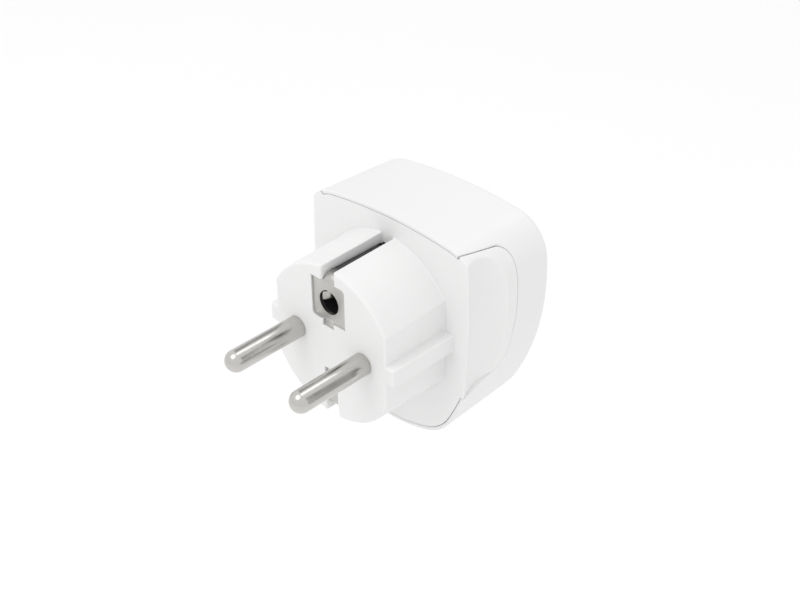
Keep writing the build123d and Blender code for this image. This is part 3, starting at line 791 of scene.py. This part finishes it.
# the earth contacts are strips; these are their half widths on the +X and -X side, by height
earthPlate = {
    "thickness": 0.8,
    "sink": 0.3,
    "lowZ": 5.5,
    "highZ": 14.7,
    "tongueZ": 4.2,
    "half": 4.55,
    "tongueHalf": 1.6,
    "strapHalf": 1.35,
    "corner": 1.0,
    "neckRound": 0.9,
    "holeZ": 10.0,
    "holeRadius": 2.7,
    "strapZ": 16.2,         # outer face of the strap
    "bend": 1.6,
    "strapEnd": 15.5,
    "legZ": 6.5,
    "legDepth": 4.2,
    "legRound": 0.41,
    "edge": 0.1,
}


def earthEdges():
    # Outline of the plate as pairs (height, half width): square and round corners on opposite
    # sides, then a neck that narrows in a hollow curve to the strap.
    e = earthPlate
    low, high, r, n = e["lowZ"], e["highZ"], e["corner"], e["neckRound"]
    quarter = np.linspace(0, math.pi / 2, 9)
    hollow = [(high + 0.02 + n * (1 - math.cos(a)), e["strapHalf"] + n * (1 - math.sin(a))) for a in quarter]
    tongue = [(e["tongueZ"], e["tongueHalf"]), (low, e["tongueHalf"])]
    plus = tongue + [(low + r * (1 - math.cos(a)) + 0.01, e["half"] - r + r * math.sin(a)) for a in quarter]
    plus += [(high, e["half"]), (high + 0.01, e["strapHalf"] + 0.35), (high + 0.25, e["strapHalf"])]
    minus = [(e["tongueZ"], e["tongueHalf"] - 0.35), (low, e["tongueHalf"] - 0.35), (low + 0.01, e["half"])]
    minus += [(high - r + r * math.sin(a), e["half"] - r + r * math.cos(a)) for a in quarter]
    minus += hollow
    return np.array(plus), np.array(minus)


def plugPocket(grow):
    # the plate's outline as a closed loop, a little larger all round
    e = earthPlate
    low, high, half, r = e["lowZ"], e["highZ"], e["half"], e["corner"]
    tongue = e["tongueHalf"]
    corners = [(-half - grow, high + grow), (half + grow, high + grow), (half + grow, low - grow),
               (tongue + grow, low - grow), (tongue + grow, e["tongueZ"] - grow),
               (-tongue + 0.35 - grow, e["tongueZ"] - grow), (-tongue + 0.35 - grow, low - grow),
               (-half - grow, low - grow)]
    return roundedPath(corners, [r, 0.1, r, 0.1, 0.1, 0.1, 0.1, 0.1], closed=True)


def strip(name, path, widthPlus, widthMinus, thickness, edge, slotName, body, nodeNames):
    # A flat strip: its section, a rectangle with rounded corners, is carried along a path (y, z)
    # and is as wide on each side as the two half-width arrays say.
    corner = np.linspace(0, math.pi / 2, 4)
    turns = np.concatenate([corner + quarter * math.pi / 2 for quarter in range(4)])
    turns = np.concatenate([turns, turns[:1]])
    sideX = np.repeat([1, -1, -1, 1], 4)
    sideN = np.repeat([1, 1, -1, -1], 4)
    sideX, sideN = np.append(sideX, 1), np.append(sideN, 1)
    half = np.where(sideX[None, :] > 0, widthPlus[:, None], widthMinus[:, None])
    x = sideX * (half - edge) + edge * np.cos(turns)
    lift = sideN * (thickness / 2 - edge) + edge * np.sin(turns)
    normal = leftNormals(path)
    y = path[:, :1] + lift * normal[:, :1]
    z = path[:, 1:] + lift * normal[:, 1:]
    grid = np.stack([np.broadcast_to(x, y.shape), y, z], axis=2)
    return addPiece(name, [grid], slotName, body, nodeNames, caps=[grid[0][:-1], grid[-1][:-1]])


def earthContactTop():
    # Plate and strap are one strip: its path goes straight up the face, round a quarter circle and
    # straight along the groove. Its half widths are read off the outline by length along the path.
    e = earthPlate
    y = -e["sink"] - e["thickness"] / 2
    z = e["strapZ"] - e["thickness"] / 2
    plus, minus = earthEdges()
    dense = roundedPath([(y, e["tongueZ"]), (y, z), (-e["strapEnd"], z)], [0, e["bend"], 0], step=0.02)
    length = np.concatenate([[0], np.cumsum(np.hypot(*np.diff(dense, axis=0).T))])
    marks = np.concatenate([plus[:, 0], minus[:, 0]]) - e["tongueZ"]
    bendEnd = z - e["tongueZ"]
    bendStart = bendEnd - e["bend"]
    spots = np.unique(np.concatenate([
        marks,
        np.linspace(0, bendStart, 24),
        np.linspace(bendStart, bendEnd + 1, 30),
        np.linspace(bendEnd + 1, length[-1], 12),
    ]))
    path = np.stack([np.interp(spots, length, dense[:, axis]) for axis in (0, 1)], axis=1)

    def along(edges):
        return np.interp(spots + e["tongueZ"], edges[:, 0], edges[:, 1])

    piece = strip("earthContactTop", path, along(plus), along(minus), e["thickness"], e["edge"],
                  "nickel", "meter", ["earth_contact_top"])
    cutWith(piece, [prismPiece("cutter", circleLoop(0, e["holeZ"], e["holeRadius"]), -0.5, 2.0)])
    piece.data.materials[0] = earthMetal


def earthContactBottom():
    # a strip of one width: out of the face, down a straight leg, round a quarter circle and along
    # the lower groove
    e = earthPlate
    y = -e["sink"] - e["thickness"] / 2
    z = -(e["strapZ"] - e["thickness"] / 2)
    top = -e["legZ"] - e["thickness"] / 2
    corners = [(-e["legDepth"], top), (y, top), (y, z), (-e["strapEnd"], z)]
    path = roundedPath(corners, [0, e["legRound"], e["bend"], 0], step=0.1)
    width = np.full(len(path), e["strapHalf"])
    piece = strip("earthContactBottom", path, width, width, e["thickness"], e["edge"],
                  "nickel", "meter", ["earth_contact_bottom"])
    piece.data.materials[0] = earthMetal


leaf = {
    "restX": 2.95,          # distance from the hole's axis at the root
    "dip": 1.55,
    "waveShare": 1.12,      # the half wave ends before the leaf does
    "start": 1.15,
    "length": 6.6,
    "halfWidth": 0.95,
    "halfThickness": 0.18,
    "rows": 48,
    "columns": 25,
}


def earthLeaf():
    # The sprung leaf in the earth hole. Its distance from the hole's axis dips towards the axis as
    # half a sine wave along its length and comes back. A flat section with rounded ends, the clipped
    # cosine and sine of a turn, is carried along that line.
    f = leaf
    share = np.linspace(0, 1, f["rows"])
    x = f["restX"] - f["dip"] * np.sin(math.pi * np.minimum(share * f["waveShare"], 1))
    y = -f["start"] - f["length"] * share
    turns = np.linspace(0, turn, f["columns"])
    slope = np.stack([np.gradient(x), np.gradient(y)], axis=1)
    slope /= np.linalg.norm(slope, axis=1)[:, None]
    across = np.stack([slope[:, 1], -slope[:, 0]], axis=1)
    lift = f["halfThickness"] * np.clip(np.sin(turns) * 1.6, -1, 1)
    side = f["halfWidth"] * np.clip(np.cos(turns) * 1.15, -1, 1)
    height = np.broadcast_to(earthPlate["holeZ"] + side, (f["rows"], f["columns"]))
    grid = np.stack([x[:, None] + lift * across[:, :1], y[:, None] + lift * across[:, 1:], height], axis=2)
    addPiece("earthLeaf", [grid], "nickel", "meter", ["earth_pin_spring"],
             caps=[grid[0][:-1], grid[-1][:-1]])


pin = {
    "radius": 2.4,
    "length": 19.0,
    "x": 9.5,
    # the straight part, the stepped root and the head behind the face, as place and radius
    "straight": (12.0, 6.0, 1.0, 0.14),
    "rootEdge": [(0.03, 0.06), (0.0, 0.14)],    # place, and how much thinner than the pin
    "root": [(-0.02, 2.0), (-2.2, 2.0), (-2.2, 3.0), (-3.0, 3.0), (-3.0, 0.0)],
}


def plugPins():
    # a quarter circle and a straight line turned about the pin's axis, with the stepped root behind
    radius, length = pin["radius"], pin["length"]
    tip = np.linspace(0, math.pi / 2, 26)
    profile = np.stack([length - radius + radius * np.cos(tip), radius * np.sin(tip)], axis=1)
    rest = [(place, radius) for place in pin["straight"]]
    rest += [(place, radius - less) for place, less in pin["rootEdge"]]
    profile = np.concatenate([profile, np.array(rest + pin["root"])])
    for name, x, node in (("livePin", -pin["x"], pinNodes[0]), ("neutralPin", pin["x"], pinNodes[1])):
        addPiece(name, [revolved(profile, x, 0.0, 96)], "nickel", "meter", [node])


def pinSides():
    # the nodes of the pins on the -X and the +X side
    low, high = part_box("live_pin")
    return ["live_pin", "neutral_pin"] if (low[0] + high[0]) < 0 else ["neutral_pin", "live_pin"]


def cupLoop(grow):
    # recess outline: a round hole with side flats and keyways for a plug's ribs
    c = cup
    radius, flat = c["recess"] + grow, c["recessFlat"] + grow
    sweep = np.linspace(0, math.asin(flat / radius), 90)
    arc = [(radius * math.sin(a), radius * math.cos(a)) for a in sweep]
    quarter = arc + [(flat, c["ribHalf"] + grow), (c["rib"] + grow, c["ribHalf"] + grow)]
    rounds = [0] * (len(arc) - 1) + [0.2, max(0.55 - grow, 0.05), max(0.55 + grow, 0.05)]
    right = quarter + [(x, -z) for x, z in quarter[::-1]]
    left = [(-x, z) for x, z in right[::-1]][1:-1]
    rounds = rounds + rounds[::-1]
    return roundedPath(right + left, rounds + rounds[::-1][1:-1], closed=True, fixed=(6, 3))


def socketCup():
    # From the back of the flange over its rim, across the front, into the recess and down to its
    # floor; the outside goes back to the cup's base. Both ends are flat.
    c = cup
    polar = np.arctan2(cupLoop(0.0)[:, 1], cupLoop(0.0)[:, 0])
    front = housing["front"]
    rows = []

    def ring(radius, depth, flats=False):
        x, z = radius * np.cos(polar), radius * np.sin(polar)
        if flats:
            x = np.clip(x, -c["recessFlat"] - 1.0, c["recessFlat"] + 1.0)
        rows.append(np.stack([x, np.full(len(polar), -depth), z], axis=1))

    def line(grow, depth):
        flat = cupLoop(grow)
        rows.append(np.stack([flat[:, 0], np.full(len(flat), -depth), flat[:, 1]], axis=1))

    ring(c["radius"] - c["slack"], c["back"], True)
    ring(c["radius"] - c["slack"], front - c["flangeDepth"] - 0.3, True)
    ring(c["radius"] - c["slack"], front - c["flangeDepth"])
    ring(c["flange"], front - c["flangeDepth"])
    ring(c["flange"], front - 0.25)
    for step in np.linspace(0, math.pi / 2, 6)[1:]:
        ring(c["flange"] - 0.25 * (1 - math.cos(step)), front - 0.25 * (1 - math.sin(step)))
    for step in np.linspace(0, math.pi / 2, 7):
        line(c["chamfer"] * (1 - math.sin(step)), front - c["chamfer"] * (1 - math.cos(step)))
    for share in (0.3, 0.6, 0.9):
        line(0.0, front + (c["floor"] - front) * share)
    for step in np.linspace(0, math.pi / 2, 6):
        line(-0.5 * (1 - math.cos(step)), c["floor"] + 0.5 * (1 - math.sin(step)))
    line(-0.6, c["floor"])
    grid = np.stack(rows)
    piece = addPiece("socketCup", [grid], "cup_plastic", "meter", ["socket_cup"],
                     caps=[grid[0][:-1], grid[-1][:-1]])
    below, above = c["back"] - 1, c["floor"] + 1
    cutters = [prismPiece("cutter", circleLoop(side * c["holeX"], 0, c["holeRadius"]), below, above)
               for side in (1, -1)]
    cutters.append(prismPiece("cutter", circleLoop(0, 0, c["screwHole"]), below, above))
    cutters.append(prismPiece("cutter", circleLoop(0, 0, c["screwHead"]), c["floor"] - c["screwSink"], above))
    for side in (1, -1):
        low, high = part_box("socket_earth_clip_top" if side > 0 else "socket_earth_clip_bottom")
        zs = sorted((low[2] / mm, high[2] / mm))
        gap, half = c["clipGap"], c["clipHalf"]
        window = boxLoop(-half - gap, half + gap, zs[0] - gap, zs[1] + gap)
        cutters.append(prismPiece("cutter", window, below, -low[1] / mm + gap))
    cutWith(piece, cutters)


def stadium(z, width, height):
    # a slot shape: two half circles joined by straight sides
    radius, reach = height / 2, (width - height) / 2
    angle = np.linspace(-math.pi / 2, math.pi / 2, 25)
    right = np.stack([reach + radius * np.cos(angle), z + radius * np.sin(angle)], axis=1)
    left = np.stack([-reach - radius * np.cos(angle), z - radius * np.sin(angle)], axis=1)
    return closedLoop(np.concatenate([right, left]))


button = {
    "z": -23.0,
    "width": 8.0,
    "height": 3.0,
    "proud": 0.3,
    "round": 0.3,
    "gap": 0.15,
    "lip": 0.4,
    "lipFront": 38.45,
    "lipBack": 37.45,
    "dish": 0.12,           # how far the top is hollowed for the fingertip
    "stemBack": 24.3,
    "stemRadius": 1.0,
}
guideCircle, guideAngle = 22.9, math.radians(-75)
guide = {
    "x": guideCircle * math.cos(guideAngle),
    "z": guideCircle * math.sin(guideAngle),
    "radius": 1.1,
    "round": 0.28,
    "back": 21.4,
}


def buttonCap():
    # the slot shape is carried from the lip to the top, rounded over and then dished: depth falls
    # off from the rim to the middle as a parabola
    b = button
    top = housing["front"] + b["proud"]
    rows = []

    def ring(inset, depth):
        flat = stadium(b["z"], b["width"] - 2 * inset, b["height"] - 2 * inset)
        rows.append(np.stack([flat[:, 0], np.full(len(flat), -depth), flat[:, 1]], axis=1))

    ring(-b["lip"], b["lipBack"])
    ring(-b["lip"], b["lipFront"])
    ring(0.0, b["lipFront"])
    ring(0.0, (b["lipFront"] + top) / 2)
    for step in np.linspace(0, math.pi / 2, 8):
        ring(b["round"] * (1 - math.cos(step)), top - b["round"] * (1 - math.sin(step)))
    reach = b["height"] / 2 - b["round"]
    for share in np.linspace(0.1, 0.98, 10):
        ring(b["round"] + reach * share, top - b["dish"] * share * (2 - share))
    grid = np.stack(rows)
    stem = np.array([(-b["stemBack"], 0.0), (-b["stemBack"], b["stemRadius"]),
                     (-b["lipBack"], b["stemRadius"])])
    addPiece("buttonCap", [grid, revolved(stem, 0.0, b["z"], 32)], "cup_plastic", "button", ["button_cap"],
             caps=[grid[0][:-1], grid[-1][:-1]])


def lightGuide():
    # a line and a quarter circle turned about the guide's axis
    g = guide
    step = np.linspace(0, math.pi / 2, 7)
    front = housing["front"]
    nose = np.stack([-(front - g["round"] * (1 - np.sin(step))),
                     g["radius"] - g["round"] * (1 - np.cos(step))], axis=1)
    profile = np.concatenate([[(-g["back"], 0.0), (-g["back"], g["radius"])], nose, [(-front, 0.0)]])
    addPiece("lightGuide", [revolved(profile, g["x"], g["z"], 48)],
             "light_pipe", "meter", ["light_guide"])


# the openings in the plug's face
faceCuts = {
    "out": -1.0,            # each cut starts this far outside the face
    "pocketGap": 0.15,
    "pocketDepth": 1.1,
    "tubeRadius": 4.05,
    "tubeDepth": 9.0,
    "channelHalf": 1.76,
    "channelFrom": -14.5,
    "channelTo": -6.35,
}


def cutFace(piece):
    # one after the other: the plate's pocket, the tube behind the earth hole and the lower channel
    c = faceCuts
    channel = boxLoop(-c["channelHalf"], c["channelHalf"], c["channelFrom"], c["channelTo"])
    cuts = [
        prismPiece("cutter", plugPocket(c["pocketGap"]), c["out"], c["pocketDepth"]),
        prismPiece("cutter", circleLoop(0, earthPlate["holeZ"], c["tubeRadius"]), c["out"], c["tubeDepth"]),
        prismPiece("cutter", channel, c["out"], c["pocketDepth"]),
    ]
    for one in cuts:
        cutWith(piece, [one])


earthMetal = earthNickel()
pinNodes = pinSides()
frontShell()
rearPlateAndCheeks()
cutFace(plugBody())
earthContactTop()
earthContactBottom()
earthLeaf()
plugPins()
socketCup()
buttonCap()
lightGuide()
print("housing and contacts done")


# ---------- studio

studio = {
    "floorZ": -400.0,
    "floorReach": 6.0,      # metres
    "world": 0.98,
    "keyPlace": (250.0, 750.0, 1500.0),
    "keySize": 1100.0,
    "keyPower": 6.0,
    # place, width, length and brightness
    "cards": {
        "brightCard": ((54.0, -330.0, 498.0), 170.0, 700.0, 2.2),
        "darkCard": ((-500.0, -330.0, 110.0), 130.0, 700.0, 0.28),
        "greyCard": ((420.0, -330.0, 330.0), 150.0, 700.0, 0.40),
    },
}


def addStudio():
    material, nodes, links, shader = newMaterial("paleFloor")
    shade = noiseFrom(nodes, links, objectCoords(nodes, links), 3, 2)
    pale = mixColours(nodes, links, shade, (0.95, 0.95, 0.95), (0.94, 0.94, 0.94))
    links.new(pale, shader.inputs["Base Color"])
    shader.inputs["Roughness"].default_value = 0.9
    mesh = bpy.data.meshes.new("floor")
    reach, z = studio["floorReach"], studio["floorZ"] * mm
    corners = [(-reach, -reach, z), (reach, -reach, z), (reach, reach, z), (-reach, reach, z)]
    mesh.from_pydata(corners, [], [(0, 1, 2, 3)])
    mesh.materials.append(material)
    floor = bpy.data.objects.new("floor", mesh)
    bpy.context.scene.collection.objects.link(floor)
    world = bpy.data.worlds.new("studio")
    world.use_nodes = True
    background = world.node_tree.nodes["Background"]
    background.inputs["Color"].default_value = (1, 1, 1, 1)
    background.inputs["Strength"].default_value = studio["world"]
    bpy.context.scene.world = world
    bpy.context.scene.view_settings.view_transform = "Standard"
    light = bpy.data.lights.new("key", "AREA")
    light.shape = "DISK"
    light.size = studio["keySize"] * mm
    light.energy = studio["keyPower"]
    key = bpy.data.objects.new("key", light)
    place = Vector(studio["keyPlace"]) * mm
    key.matrix_world = Matrix.Translation(place) @ (-place).to_track_quat("-Z", "Y").to_matrix().to_4x4()
    bpy.context.scene.collection.objects.link(key)


def addCard(name, place, width, length, strength):
    # a studio card that only shows in reflections
    material = bpy.data.materials.new(name)
    material.use_nodes = True
    nodes = material.node_tree.nodes
    nodes.clear()
    glow = nodes.new("ShaderNodeEmission")
    glow.inputs["Strength"].default_value = strength
    output = nodes.new("ShaderNodeOutputMaterial")
    material.node_tree.links.new(glow.outputs["Emission"], output.inputs["Surface"])
    mesh = bpy.data.meshes.new(name)
    w, l = width / 2 * mm, length / 2 * mm
    mesh.from_pydata([(-w, -l, 0), (w, -l, 0), (w, l, 0), (-w, l, 0)], [], [(0, 1, 2, 3)])
    mesh.materials.append(material)
    card = bpy.data.objects.new(name, mesh)
    spot = Vector(place) * mm
    card.matrix_world = Matrix.Translation(spot) @ (-spot).to_track_quat("Z", "Y").to_matrix().to_4x4()
    for ray in ("camera", "diffuse", "transmission", "volume_scatter", "shadow"):
        setattr(card, "visible_" + ray, False)
    bpy.context.scene.collection.objects.link(card)


addStudio()
for cardName, cardLook in studio["cards"].items():
    addCard(cardName, *cardLook)
